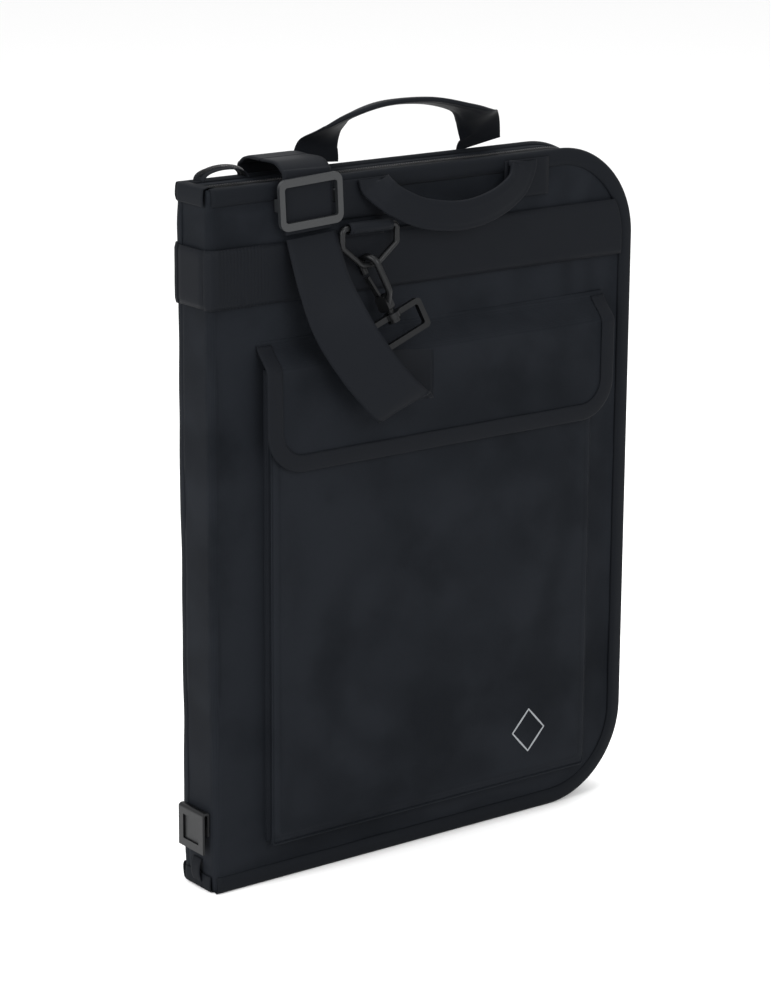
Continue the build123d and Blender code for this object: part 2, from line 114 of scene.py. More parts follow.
def woven_cloth(name, colour, light, scale, rough, bump=0.25, sheen=0.005):
    """Fine crossed weave with slow changes of tone, on Object coordinates."""
    material = plain_material(name, colour, rough)
    nodes, links = material.node_tree.nodes, material.node_tree.links
    shader = nodes["Principled BSDF"]
    shader.inputs["Sheen Weight"].default_value = sheen
    shader.inputs["Sheen Roughness"].default_value = 0.45
    shader.inputs["Sheen Tint"].default_value = (0.75, 0.82, 1, 1)
    shader.inputs["Specular IOR Level"].default_value = 0.03
    place = nodes.new("ShaderNodeTexCoord")
    heights = []
    for axis in ("X", "Z", "Y"):
        wave = nodes.new("ShaderNodeTexWave")
        wave.bands_direction = axis
        wave.inputs["Scale"].default_value = scale
        wave.inputs["Distortion"].default_value = 0.6
        wave.inputs["Detail Scale"].default_value = 3
        links.new(place.outputs["Object"], wave.inputs["Vector"])
        heights.append(wave.outputs["Fac"])
    total = nodes.new("ShaderNodeMath")
    total.operation = "ADD"
    links.new(heights[0], total.inputs[0])
    links.new(heights[1], total.inputs[1])
    total2 = nodes.new("ShaderNodeMath")
    total2.operation = "ADD"
    links.new(total.outputs[0], total2.inputs[0])
    links.new(heights[2], total2.inputs[1])
    cloud = nodes.new("ShaderNodeTexNoise")
    cloud.inputs["Scale"].default_value = 14
    cloud.inputs["Detail"].default_value = 5
    links.new(place.outputs["Object"], cloud.inputs["Vector"])
    tone = nodes.new("ShaderNodeMix")
    tone.data_type = "RGBA"
    tone.inputs[6].default_value = (*colour, 1)
    tone.inputs[7].default_value = (*light, 1)
    fade = nodes.new("ShaderNodeMapRange")
    fade.inputs["From Min"].default_value = 0.35
    fade.inputs["From Max"].default_value = 0.75
    links.new(cloud.outputs["Fac"], fade.inputs["Value"])
    thread = nodes.new("ShaderNodeMath")
    thread.operation = "MULTIPLY"
    links.new(fade.outputs["Result"], thread.inputs[0])
    links.new(total2.outputs[0], thread.inputs[1])
    links.new(thread.outputs[0], tone.inputs["Factor"])
    links.new(tone.outputs[2], shader.inputs["Base Color"])
    wear = nodes.new("ShaderNodeMapRange")
    wear.inputs["To Min"].default_value = rough - 0.08
    wear.inputs["To Max"].default_value = rough + 0.1
    links.new(cloud.outputs["Fac"], wear.inputs["Value"])
    links.new(wear.outputs["Result"], shader.inputs["Roughness"])
    relief = nodes.new("ShaderNodeBump")
    relief.inputs["Strength"].default_value = bump
    relief.inputs["Distance"].default_value = 0.0002
    links.new(total2.outputs[0], relief.inputs["Height"])
    links.new(relief.outputs["Normal"], shader.inputs["Normal"])
    return material


def skin(name, across, along, place, material, thickness=0.0, body=None, offset=-1.0, smooth=True):
    """A cloth skin: a grid whose points go where place(u, v) says, u across and v along, both 0 to 1."""
    bm = bmesh.new()
    bmesh.ops.create_grid(bm, x_segments=across, y_segments=along, size=0.5, calc_uvs=True)
    for vert in bm.verts:
        vert.co = place(vert.co.x + 0.5, vert.co.y + 0.5)
    bmesh.ops.remove_doubles(bm, verts=bm.verts, dist=1e-6)
    mesh = bpy.data.meshes.new(name)
    for face in bm.faces:
        face.smooth = smooth
    bm.to_mesh(mesh)
    bm.free()
    piece = bpy.data.objects.new(name, mesh)
    bpy.context.collection.objects.link(piece)
    mesh.materials.append(material)
    if thickness:
        wall = piece.modifiers.new("thickness", "SOLIDIFY")
        wall.thickness = thickness
        wall.offset = offset
    if body:
        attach(piece, body)
    return piece


def tray_reach(z, inset):
    """How far the tray's right edge stands at height z, with its two round corners."""
    radius = corner - inset
    centre = wide - corner
    if z > tall - corner:
        lift = min(z - (tall - corner), radius)
    elif z < corner:
        lift = min(corner - z, radius)
    else:
        return wide - inset
    return centre + math.sqrt(max(radius * radius - lift * lift, 0))


def ease(value):
    """A smooth step from 0 to 1."""
    value = min(max(value, 0), 1)
    return value * value * (3 - 2 * value)


def crumple(x, y, z, seed, size=9.0):
    """Slow soft unevenness of cloth, about -1 to 1."""
    return noise.noise(Vector((x * size + seed, y * size, z * size)))


nylon = woven_cloth("coated_nylon", (0.0044, 0.0053, 0.0069), (0.0084, 0.0097, 0.0122), 420, 0.62)
corner_bend = 0.004


def cover_point(side, u, v):
    """A point of one half of the cover: u from the spine round the corner to the right edge, v up.
    The two halves meet in a seam near the back of the spine."""
    inset = 0.0015
    z = inset + v * (tall - 2 * inset)
    seam = -0.0115 if side < 0 else 0.0112
    flat = half_depth - corner_bend
    arc = corner_bend * math.pi / 2
    reach = tray_reach(z, 0.0022)
    front = reach + wide - corner_bend
    grow = 0.12 if side < 0 else 0.04
    if u < grow:
        s = seam + u / grow * (flat + arc - seam)
    else:
        s = flat + arc + (u - grow) / (1 - grow) * front
    if s < flat:
        x, y, normal = -wide, s, (-1, 0)
    elif s < flat + arc:
        angle = (s - flat) / corner_bend
        x = -wide + corner_bend * (1 - math.cos(angle))
        y = flat + corner_bend * math.sin(angle)
        normal = (-math.cos(angle), math.sin(angle))
    else:
        x, y, normal = -wide + corner_bend + s - flat - arc, half_depth, (0, 1)
    edge = min(z, tall - z, reach - x if normal[0] == 0 else 1)
    fill = ease(edge / 0.03)
    puff = 0.0011 * fill + 0.0009 * crumple(x, y * side, z, 3.1 + side) * fill
    puff += 0.0005 * crumple(x, y, z, 8.2, 30) * fill
    if normal[0] == 0:
        puff -= 0.0016 * fill * ease((x - 0.10) / 0.06)
        puff = min(puff, 0.0008)
    x += normal[0] * puff
    y += normal[1] * puff
    return Vector((x, side * y, z))


for side, tray in ((-1, "front"), (1, "back")):
    cover = skin(f"{tray}_cover", 120, 130, lambda u, v: cover_point(side, u, v), nylon, 0.0035,
                 offset=1.0 if side > 0 else -1.0)
    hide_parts(f"{tray}_panel")
    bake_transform(cover)
    if side < 0:
        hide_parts("spine_panel")

# ---------------------------------------------------------------- Edge bindings
# A 12 mm twill tape folded over each tray's outer seam and sewn through; it rolls round the edge as a bead.
# The two corners are eased, so the tape puckers a little there.


def ribbed_web(name, colour, light, across_ribs, along_ribs, slant, rough, bump):
    """Webbing or twill tape: ribs on the piece's own UV map, where U runs across and V along."""
    material = plain_material(name, colour, rough)
    nodes, links = material.node_tree.nodes, material.node_tree.links
    shader = nodes["Principled BSDF"]
    shader.inputs["Sheen Weight"].default_value = 0.005
    shader.inputs["Sheen Roughness"].default_value = 0.5
    shader.inputs["Specular IOR Level"].default_value = 0.04
    uv = nodes.new("ShaderNodeUVMap")
    split = nodes.new("ShaderNodeSeparateXYZ")
    links.new(uv.outputs["UV"], split.inputs[0])

    def maths(kind, first, second):
        node = nodes.new("ShaderNodeMath")
        node.operation = kind
        for slot_index, value in enumerate((first, second)):
            if isinstance(value, (int, float)):
                node.inputs[slot_index].default_value = value
            elif value is not None:
                links.new(value, node.inputs[slot_index])
        return node.outputs[0]

    zigzag = maths("PINGPONG", maths("MULTIPLY", split.outputs[0], across_ribs), 0.5)
    phase = maths("ADD", maths("MULTIPLY", split.outputs[1], along_ribs), maths("MULTIPLY", zigzag, slant))
    ribs = maths("ABSOLUTE", maths("SINE", maths("MULTIPLY", phase, math.pi), None), None)
    turns = maths("MULTIPLY", split.outputs[0], across_ribs * math.pi)
    cords = maths("ABSOLUTE", maths("SINE", turns, None), None)
    height = maths("ADD", ribs, maths("MULTIPLY", cords, 0.6))
    spots = nodes.new("ShaderNodeTexNoise")
    spots.inputs["Scale"].default_value = 35
    spots.inputs["Detail"].default_value = 4
    place = nodes.new("ShaderNodeTexCoord")
    links.new(place.outputs["Object"], spots.inputs["Vector"])
    tone = nodes.new("ShaderNodeMix")
    tone.data_type = "RGBA"
    tone.inputs[6].default_value = (*colour, 1)
    tone.inputs[7].default_value = (*light, 1)
    links.new(maths("MULTIPLY", ribs, spots.outputs["Fac"]), tone.inputs["Factor"])
    links.new(tone.outputs[2], shader.inputs["Base Color"])
    wear = nodes.new("ShaderNodeMapRange")
    wear.inputs["To Min"].default_value = rough - 0.1
    wear.inputs["To Max"].default_value = rough + 0.1
    links.new(spots.outputs["Fac"], wear.inputs["Value"])
    links.new(wear.outputs["Result"], shader.inputs["Roughness"])
    relief = nodes.new("ShaderNodeBump")
    relief.inputs["Strength"].default_value = bump
    relief.inputs["Distance"].default_value = 0.0003
    links.new(height, relief.inputs["Height"])
    links.new(relief.outputs["Normal"], shader.inputs["Normal"])
    return material


def tray_path(s, start, inset):
    """A tray's edge from the spine along the foot, up the zipped side and back along the top, s from 0 to 1.
    Returns x, z and the outward direction."""
    radius = corner - inset
    straight = wide - corner - start
    side_run = tall - 2 * corner
    quarter = radius * math.pi / 2
    total = 2 * straight + 2 * quarter + side_run
    d = s * total
    if d < straight:
        return start + d, inset, 0, -1
    d -= straight
    if d < quarter:
        a = d / radius
        return wide - corner + radius * math.sin(a), corner - radius * math.cos(a), math.sin(a), -math.cos(a)
    d -= quarter
    if d < side_run:
        return wide - inset, corner + d, 1, 0
    d -= side_run
    if d < quarter:
        a = d / radius
        c, s_ = math.cos(a), math.sin(a)
        return wide - corner + radius * c, tall - corner + radius * s_, c, s_
    d -= quarter
    return wide - corner - d, tall - inset, 0, 1


twill = ribbed_web("twill_tape", (0.0050, 0.0059, 0.0076), (0.0134, 0.0151, 0.0189), 4, 560, 1.0, 0.6, 0.7)
bead_out = half_depth + 0.0014


def binding_point(side, u, v):
    """A point of the binding: u from the face flange over the edge to the gusset, v along the tray's edge."""
    x, z, nx, nz = tray_path(v, -wide + (0.0006 if side < 0 else 0.0002), 0.0)
    face_run, bead = 0.0085, 0.0030
    wobble = 0.0005 * crumple(x, side, z, 5.5, 26)
    if u < 0.55:
        share = u / 0.55
        depth = 0.012 - share * face_run
        y = bead_out - 0.0009 * (1 - ease(share * 3)) + 0.0005 * math.sin(share * math.pi)
    else:
        angle = (u - 0.55) / 0.45 * math.pi * 0.92
        depth = 0.0035 - 0.0035 * math.sin(min(angle, math.pi / 2))
        depth += 0.0018 * (angle - math.pi / 2) if angle > math.pi / 2 else 0
        y = bead_out - bead * (1 - math.cos(angle)) * 0.9
    depth = max(depth, 0.0)
    if depth > 0.001:
        y += wobble * 0.5
        depth += wobble * 0.6
    return Vector((x - nx * depth, side * y, z - nz * depth))


for side, tray in ((-1, "front"), (1, "back")):
    tape = skin(f"{tray}_edge_tape", 14, 420, lambda u, v: binding_point(side, u, v), twill, 0.0006,
                body=f"{tray}_half", offset=1.0 if side > 0 else -1.0)
    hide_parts(f"{tray}_binding")

# ---------------------------------------------------------------- Side walls and zipper
# A narrow nylon gusset behind each binding, then the woven zipper tape with its nylon coil sewn on.


def wall_point(side, u, v, near, far, inset, sag):
    """A point of a wall that follows the tray's edge between two depths."""
    start = -wide + 0.0085
    x, z, nx, nz = tray_path(v, start, inset)
    y = near + u * (far - near)
    dip = sag * math.sin(u * math.pi) + 0.0003 * crumple(x, y, z, 2.2, 22)
    return Vector((x - nx * dip, side * y, z - nz * dip))


tape_cloth = ribbed_web("zipper_tape", (0.0055, 0.0063, 0.0080), (0.0126, 0.0139, 0.0168), 6, 900, 0.6,
                        0.65, 0.5)
for side, tray in ((-1, "front"), (1, "back")):
    wall = skin(f"{tray}_side_wall", 8, 330,
                lambda u, v: wall_point(side, u, v, 0.0072, 0.0162, 0.0021, 0.0007),
                nylon, 0.0012, body=f"{tray}_half", offset=-1.0 if side > 0 else 1.0)
    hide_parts(f"{tray}_gusset")
    strip = skin(f"{tray}_zip_tape", 5, 330, lambda u, v: wall_point(side, u, v, 0.0016, 0.0078, 0.0026, 0.0),
                 tape_cloth, 0.0006, body=f"{tray}_half", offset=-1.0 if side > 0 else 1.0)
    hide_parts(f"{tray}_zipper_tape")

coil_plastic = plain_material("coil_nylon", (0.0067, 0.0071, 0.0084), 0.35)
coil_nodes, coil_links = coil_plastic.node_tree.nodes, coil_plastic.node_tree.links
coil_noise = coil_nodes.new("ShaderNodeTexNoise")
coil_noise.inputs["Scale"].default_value = 300
coil_place = coil_nodes.new("ShaderNodeTexCoord")
coil_range = coil_nodes.new("ShaderNodeMapRange")
coil_range.inputs["To Min"].default_value = 0.25
coil_range.inputs["To Max"].default_value = 0.5
coil_links.new(coil_place.outputs["Object"], coil_noise.inputs["Vector"])
coil_links.new(coil_noise.outputs["Fac"], coil_range.inputs["Value"])
coil_shader = coil_plastic.node_tree.nodes["Principled BSDF"]
coil_links.new(coil_range.outputs["Result"], coil_shader.inputs["Roughness"])
coil_turns = 560


def coil_point(side, u, v):
    """A point of the coil: a thin thread wound into a flattened spiral along the tray's edge."""
    start = -wide + 0.0085
    x, z, nx, nz = tray_path(v, start, 0.0027)
    angle = v * coil_turns * 2 * math.pi
    wide_way, tall_way = 0.00062, 0.00085
    y = 0.00145 + wide_way * math.cos(angle)
    lift = tall_way * math.sin(angle)
    ring = u * 2 * math.pi
    thread = 0.00030
    y += thread * math.cos(ring) * math.cos(angle)
    lift += thread * math.cos(ring) * math.sin(angle)
    along = thread * math.sin(ring)
    return Vector((x - nz * along + nx * lift, side * y, z + nx * along + nz * lift))


for side, tray in ((-1, "front"), (1, "back")):
    coil = skin(f"{tray}_zip_coil", 4, coil_turns * 8, lambda u, v: coil_point(side, u, v), coil_plastic,
                body=f"{tray}_half")
    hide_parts(f"{tray}_zipper_coil")

# ---------------------------------------------------------------- Webbing band
# A 38 mm webbing sewn flat right round the bag near its top; it is one band cut at the two folds,
# with bar tacks beside the spine where the stitching draws it into small upright puckers.
band_low, band_high = 0.393, 0.431
webbing = ribbed_web("strap_webbing", (0.0053, 0.0061, 0.0078), (0.0143, 0.0164, 0.0202), 9, 1.0, 1.0,
                     0.55, 0.8)


def pitch_ribs(material, name, along_ribs):
    """A copy of a ribbed cloth with its ribs counted for another length."""
    copy = material.copy()
    copy.name = name
    for node in copy.node_tree.nodes:
        if node.type == "MATH" and node.operation == "MULTIPLY" and node.inputs[0].is_linked:
            source = node.inputs[0].links[0].from_socket.name
            if abs(node.inputs[1].default_value - 1.0) < 1e-6 and source == "Y":
                node.inputs[1].default_value = along_ribs
    return copy


band_web = pitch_ribs(webbing, "band_webbing", 240)


def band_point(side, u, v):
    """A point of the front or back band: u up it, v from the spine round the corner to the right binding."""
    z = band_low + u * (band_high - band_low)
    flat = half_depth - corner_bend
    arc = corner_bend * math.pi / 2
    start = 0.0140
    s = start + v * (flat + arc + tray_reach(z, 0.0118) + wide - corner_bend - start)
    if s < flat:
        x, y, normal = -wide, s, (-1, 0)
    elif s < flat + arc:
        angle = (s - flat) / corner_bend
        x = -wide + corner_bend * (1 - math.cos(angle))
        y = flat + corner_bend * math.sin(angle)
        normal = (-math.cos(angle), math.sin(angle))
    else:
        x, y, normal = -wide + corner_bend + s - flat - arc, half_depth, (0, 1)
    tacked = 1 - ease((x + wide - 0.035) / 0.012)
    ripple = 0.0004 * tacked * math.sin(s * 2400) * (0.5 + 0.5 * crumple(x, 0, z, 1.2, 60))
    rim = 0.0007 * ease(min(u, 1 - u) / 0.06)
    out = 0.0012 + rim + ripple + 0.0003 * crumple(x, side, z, 6.6, 20)
    return Vector((x + normal[0] * out, side * (y + normal[1] * out), z))


for side, tray in ((-1, "front"), (1, "back")):
    band = skin(f"{tray}_web_band", 12, 440, lambda u, v: band_point(side, u, v), band_web, 0.0013,
                offset=1.0 if side > 0 else -1.0)
    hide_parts(f"{tray}_band")
    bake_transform(band)


def spine_band_point(u, v):
    """A point of the band's stretch on the spine, which rolls a little way round both corners."""
    z = band_low + 0.0004 + u * (band_high - band_low - 0.0008)
    y = -0.0142 + v * 0.0284
    bow = 0.0014 + 0.0007 * ease(min(u, 1 - u) / 0.06) - 0.0008 * ease((abs(y) - 0.010) / 0.005)
    return Vector((-wide - bow, y, z))


spine_web = pitch_ribs(webbing, "spine_webbing", 20)
spine_strip = skin("spine_web_band", 12, 24, spine_band_point, spine_web, 0.0012, body="spine", offset=1.0)
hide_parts("spine_band")

# ---------------------------------------------------------------- Spine trims and zipper ends
# Folded binding closes the spine's top and foot; the zipper's top end is turned into a small standing loop,
# and its lower end is a short tail sewn on the spine below the rim hook.


def spine_cap(name, low, high, open_end):
    """Binding folded over one end of the spine, drawn round its three outer sides."""
    def place(u, v):
        y = -0.0146 + v * 0.0292
        run = u * 2.2
        if run < 1:
            z = low + run * (high - low) if open_end == "top" else high - run * (high - low)
            bulge = 0.0017 + 0.0004 * math.sin(run * math.pi)
            return Vector((-wide - bulge, y, z + 0.0004 * crumple(0, y, 0, 4.4, 90)))
        if run < 1.2:
            angle = (run - 1) / 0.2 * math.pi
            centre = high if open_end == "top" else low
            turn = math.sin(angle) * 0.0012
            x = -wide + 0.0022 - 0.0039 * math.cos(angle)
            return Vector((x, y, centre + (turn if open_end == "top" else -turn)))
        share = run - 1.2
        z = high - share * (high - low) if open_end == "top" else low + share * (high - low)
        return Vector((-wide + 0.0061, y, z))
    return skin(name, 26, 16, place, twill, 0.0006, body="spine", offset=1.0)


top_cap = spine_cap("spine_top_tape", tall - 0.0115, tall - 0.0012, "top")
foot_cap = spine_cap("spine_foot_tape", 0.0012, 0.0115, "foot")
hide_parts("spine_binding")


def zip_loop_point(u, v):
    """A point of the standing loop of zipper tape, bowed along its length and a little across."""
    angle = v * math.pi
    x = -wide + 0.0215 - 0.0165 * math.cos(angle)
    z = tall + 0.0016 + 0.0068 * math.sin(angle) ** 0.8
    y = (u - 0.5) * 0.0118
    return Vector((x, y, z + 0.0006 * math.cos((u - 0.5) * math.pi)))


zip_loop = skin("zip_loop_tape", 8, 36, zip_loop_point, tape_cloth, 0.0007, body="spine", offset=-1.0)
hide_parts("zip_end_top")
loop_turns = 34


def loop_coil_point(u, v):
    """A point of the coil that runs over the standing loop."""
    angle = v * math.pi
    turn = v * loop_turns * 2 * math.pi
    ring = u * 2 * math.pi
    thread = 0.0004 * math.cos(ring)
    lift = 0.0010 * math.sin(turn) + thread * math.sin(turn)
    x = -wide + 0.0215 - (0.0165 + lift) * math.cos(angle) + 0.0004 * math.sin(ring) * math.sin(angle)
    z = tall + 0.0026 + (0.0072 + lift) * math.sin(angle) ** 0.8
    return Vector((x, (0.0022 + thread) * math.cos(turn), z))


loop_coil = skin("zip_loop_coil", 5, loop_turns * 10, loop_coil_point, coil_plastic, body="spine")


def foot_tail_point(u, v):
    """A point of the zipper's tail: it bows off the spine and turns under the bag's foot."""
    z = 0.0212 - v * 0.0200
    bow = 0.0013 + 0.0022 * math.sin(min(v * 1.25, 1) * math.pi) ** 0.7
    return Vector((-wide - bow, (u - 0.5) * 0.0098, z))


foot_tail = skin("zip_tail", 8, 24, foot_tail_point, tape_cloth, 0.0007, body="spine", offset=1.0)
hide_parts("zip_end_foot")

# ---------------------------------------------------------------- Front pocket
# A flat nylon pocket on narrow folded side walls, seamed at its foot and closed by the flap above.
pocket_x0, pocket_x1, pocket_z0, pocket_z1 = -0.136, 0.134, 0.028, 0.350
pocket_out = 0.029


def pocket_point(u, v):
    """A point of the pocket's front: a slack sheet with soft edges that turn in towards the side walls."""
    x = pocket_x0 + u * (pocket_x1 - pocket_x0)
    z = pocket_z0 + v * (pocket_z1 - pocket_z0)
    edge = min(x - pocket_x0, pocket_x1 - x, z - pocket_z0)
    roll = 0.0016 * (1 - ease(edge / 0.004))
    slack = 0.0012 * math.sin(u * math.pi) * math.sin(min(v * 1.15, 1) * math.pi)
    slack += 0.0007 * crumple(x, 0, z, 7.7, 11) * ease(edge / 0.02)
    slack = min(slack, 0.0014)
    seam = 0.0006 * math.exp(-((edge - 0.0055) / 0.0012) ** 2)
    bottom_pull = 0.0012 * ease((0.010 - z + pocket_z0) / 0.010)
    return Vector((x, -pocket_out + roll - slack + seam + bottom_pull - 0.0004, z))


pocket = skin("pocket_front_cloth", 110, 130, pocket_point, nylon, 0.0013, body="front_half", offset=-1.0)
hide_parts("pocket_front")


def pocket_wall_point(u, v):
    """A point of the pocket's side wall, folded inwards along its middle, from one top corner to the other."""
    height, width = pocket_z1 - pocket_z0, pocket_x1 - pocket_x0
    d = v * (2 * height + width)
    tuck = 0.0024 * math.sin(u * math.pi)
    y = -(half_depth + 0.0002 + u * 0.0088)
    if d < height:
        return Vector((pocket_x0 + 0.0004 + tuck, y, pocket_z1 - d))
    if d < height + width:
        return Vector((pocket_x0 + d - height, y, pocket_z0 + 0.0004 + tuck * 0.6))
    return Vector((pocket_x1 - 0.0004 - tuck, y, pocket_z0 + d - height - width))


pocket_wall = skin("pocket_side_wall", 8, 220, pocket_wall_point, nylon, 0.0010, body="front_half",
                   offset=0.0)
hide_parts("pocket_gusset")

# ---------------------------------------------------------------- Pocket flap
# Nylon flap sewn on along its top edge, lined, with twill tape round its two sides and foot.
flap_x0, flap_x1, flap_z0, flap_top = -0.141, 0.148, 0.283, 0.368
flap_round = 0.028


def flap_half_width(z):
    """How much the flap's rounded lower corners take off its sides at height z."""
    lift = flap_z0 + flap_round - z
    if lift <= 0:
        return 0.0
    return flap_round - math.sqrt(max(flap_round ** 2 - lift ** 2, 0))


def flap_depth(z, x):
    """How far the flap stands out at height z: it slopes from its seam out over the pocket's mouth."""
    slope = ease((flap_top - z) / 0.019)
    return half_depth + 0.0010 + slope * 0.0128 + 0.0004 * crumple(x, 0, z, 9.4, 16)


def flap_point(u, v):
    """A point of the flap, u from left to right and v from its foot to the seam."""
    z = flap_z0 + v * (flap_top + 0.0006 - flap_z0)
    trim = flap_half_width(z)
    x = flap_x0 + trim + u * (flap_x1 - flap_x0 - 2 * trim)
    return Vector((x, -flap_depth(z, x), z))


flap = skin("flap_cloth", 110, 56, flap_point, nylon, 0.0014, body="pocket_flap", offset=-1.0)
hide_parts("pocket_flap")


def flap_edge(s, inset):
    """The flap's edge from its left top corner round the foot to the right one, s from 0 to 1."""
    radius = flap_round - inset
    side_run = 0.352 - flap_z0 - flap_round
    quarter = radius * math.pi / 2
    foot_run = flap_x1 - flap_x0 - 2 * flap_round
    d = s * (2 * side_run + 2 * quarter + foot_run + 0.028)
    left, right = flap_x0 + flap_round, flap_x1 - flap_round
    side_run += 0.014
    if d < side_run:
        return flap_x0 + inset, 0.366 - d, -1, 0
    d -= side_run
    if d < quarter:
        c, s_ = math.cos(d / radius), math.sin(d / radius)
        return left - radius * c, flap_z0 + flap_round - radius * s_, -c, -s_
    d -= quarter
    if d < foot_run:
        return left + d, flap_z0 + inset, 0, -1
    d -= foot_run
    if d < quarter:
        c, s_ = math.cos(d / radius), math.sin(d / radius)
        return right + radius * s_, flap_z0 + flap_round - radius * c, s_, -c
    d -= quarter
    return flap_x1 - inset, flap_z0 + flap_round + d, 1, 0


def flap_tape_point(u, v):
    """A point of the flap's binding: over the face by 11 mm and rolled round the edge."""
    x, z, nx, nz = flap_edge(v, 0.0)
    if u < 0.7:
        depth = 0.0108 * (1 - u / 0.7)
        out = 0.0009 + 0.0004 * math.sin(u / 0.7 * math.pi)
    else:
        angle = (u - 0.7) / 0.3 * math.pi
        depth = -0.0007 * math.sin(angle)
        out = 0.0009 - 0.0016 * (1 - math.cos(angle)) * 0.5 * 1.3
    depth += 0.0003 * crumple(x, 0, z, 3.9, 30)
    px, pz = x - nx * depth, z - nz * depth
    return Vector((px, -flap_depth(pz, px) - out, pz))


flap_twill = ribbed_web("flap_twill", (0.0053, 0.0061, 0.0078), (0.0143, 0.0160, 0.0202), 4, 1.0, 1.0,
                        0.58, 0.8)
flap_web = pitch_ribs(flap_twill, "flap_twill_tape", 190)
flap_tape = skin("flap_edge_tape", 12, 300, flap_tape_point, flap_web, 0.0006, body="pocket_flap",
                 offset=-1.0)
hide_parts("flap_binding")

# ---------------------------------------------------------------- Handle legs
# Four webbing tabs sewn over the band near the top edge; the handles fold out of their upper ends.
# Each is cut from the same 38 mm webbing and lies flat on its tray.
face_out = half_depth + 0.0014
leg_rows = {"front": (-0.058, 0.078), "back": (-0.064, 0.072)}
leg_web = pitch_ribs(webbing, "leg_webbing", 22)


def leg_point(side, middle, u, v):
    """A point of one leg, u across the webbing and v up it."""
    x = middle + (u - 0.5) * 0.038
    z = 0.441 + v * 0.025
    rim = 0.0004 * ease(min(u, 1 - u, v) / 0.08)
    return Vector((x, side * (face_out + 0.0014 + rim), z))


for side, tray in ((-1, "front"), (1, "back")):
    for count, middle in enumerate(leg_rows[tray]):
        leg = skin(f"{tray}_handle_leg_{count + 1}", 12, 24,
                   lambda u, v: leg_point(side, middle, u, v), leg_web, 0.0012,
                   body=f"{tray}_half", offset=1.0 if side > 0 else -1.0)
        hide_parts(f"{tray}_handle_legs")

# ---------------------------------------------------------------- Carrying handles
# Each handle is one length of webbing, folded in half and sewn into a narrow grip between its two legs.
# The front one hangs down over the band and the back one stands up in an arch.
top = tall


def glide(stations, t):
    """A smooth place on a list of stations, t from 0 to 1; each station is a tuple of numbers."""
    last = len(stations) - 1
    k = min(int(t * last), last - 1)
    f = t * last - k
    a, b = stations[max(k - 1, 0)], stations[k]
    c, d = stations[k + 1], stations[min(k + 2, last)]
    return [0.5 * (2 * q + (r - p) * f + (2 * p - 5 * q + 4 * r - s) * f * f
                   + (3 * q - p - 3 * r + s) * f ** 3)
            for p, q, r, s in zip(a, b, c, d)]


def web_frame(route, facing, t):
    """The centre, across and outward directions of a webbing at t along its route."""
    centre = Vector(glide(route, t)[:3])
    ahead = Vector(glide(route, min(t + 0.004, 1))[:3]) - Vector(glide(route, max(t - 0.004, 0))[:3])
    out = Vector(glide(facing, t)).normalized()
    across = ahead.cross(out).normalized()
    return centre, across, across.cross(ahead).normalized()


def grip_point(route, facing, widths, u, v):
    """A point round the folded webbing: flat and wide at the legs, narrow and thick at the grip."""
    centre, across, out = web_frame(route, facing, v)
    width = glide(widths, v)[0]
    fold = ease((0.034 - width) / 0.012)
    thick = (0.0016 + 0.0026 * fold) * min(1, v / 0.004, (1 - v) / 0.004)
    angle = 2 * math.pi * u
    flat = math.copysign(abs(math.cos(angle)) ** 0.6, math.cos(angle))
    round_ = math.copysign(abs(math.sin(angle)) ** 0.6, math.sin(angle))
    groove = 1 - 0.22 * fold * math.exp(-((abs(flat) - 0.72) / 0.07) ** 2)
    return centre + across * flat * width / 2 + out * round_ * thick / 2 * groove


front_grip = [(x / 1000, -face_out - y / 1000, top + z / 1000) for x, y, z in
              ((-52, 3.8, -4.6), (-51.5, 5.4, -8), (-47, 10.5, -14), (-39, 13.2, -20), (-18, 14.8, -29),
               (12, 15.6, -33), (40, 13.6, -29), (62, 9, -20), (71, 5, -10), (72, 3.8, -4.6))]
back_grip = [(x / 1000, face_out + y / 1000, top + z / 1000) for x, y, z in
             ((-64, 2.8, 1), (-63, 1, 13), (-58, -8, 24), (-49, -17, 33), (-24, -20, 39), (10, -20, 38),
              (40, -18, 31), (56, -12, 23), (69, -2, 13), (72, 2.8, 1))]
front_out = [(0, -1, 0)] * len(front_grip)
back_out = [(0, 1, 0.2), (0, 1, 0.3), (-0.3, 0.8, 0.8), (-0.3, 0.4, 1), (-0.1, 0.2, 1), (0.1, 0.2, 1),
            (0.3, 0.3, 1), (0.4, 0.8, 0.8), (0, 1, 0.3), (0, 1, 0.2)]
front_widths = [(w,) for w in (0.024, 0.023, 0.021, 0.020, 0.020, 0.020, 0.020, 0.020, 0.022, 0.024)]
back_widths = [(w,) for w in (0.038, 0.034, 0.028, 0.020, 0.020, 0.020, 0.020, 0.026, 0.034, 0.038)]
grip_web = pitch_ribs(webbing, "grip_webbing", 150)
for tray, route, facing, widths in (("front", front_grip, front_out, front_widths),
                                    ("back", back_grip, back_out, back_widths)):
    grip = skin(f"{tray}_grip", 32, 220, lambda u, v: grip_point(route, facing, widths, u, v), grip_web,
                body=f"{tray}_handle")
    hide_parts(f"{tray}_handle")

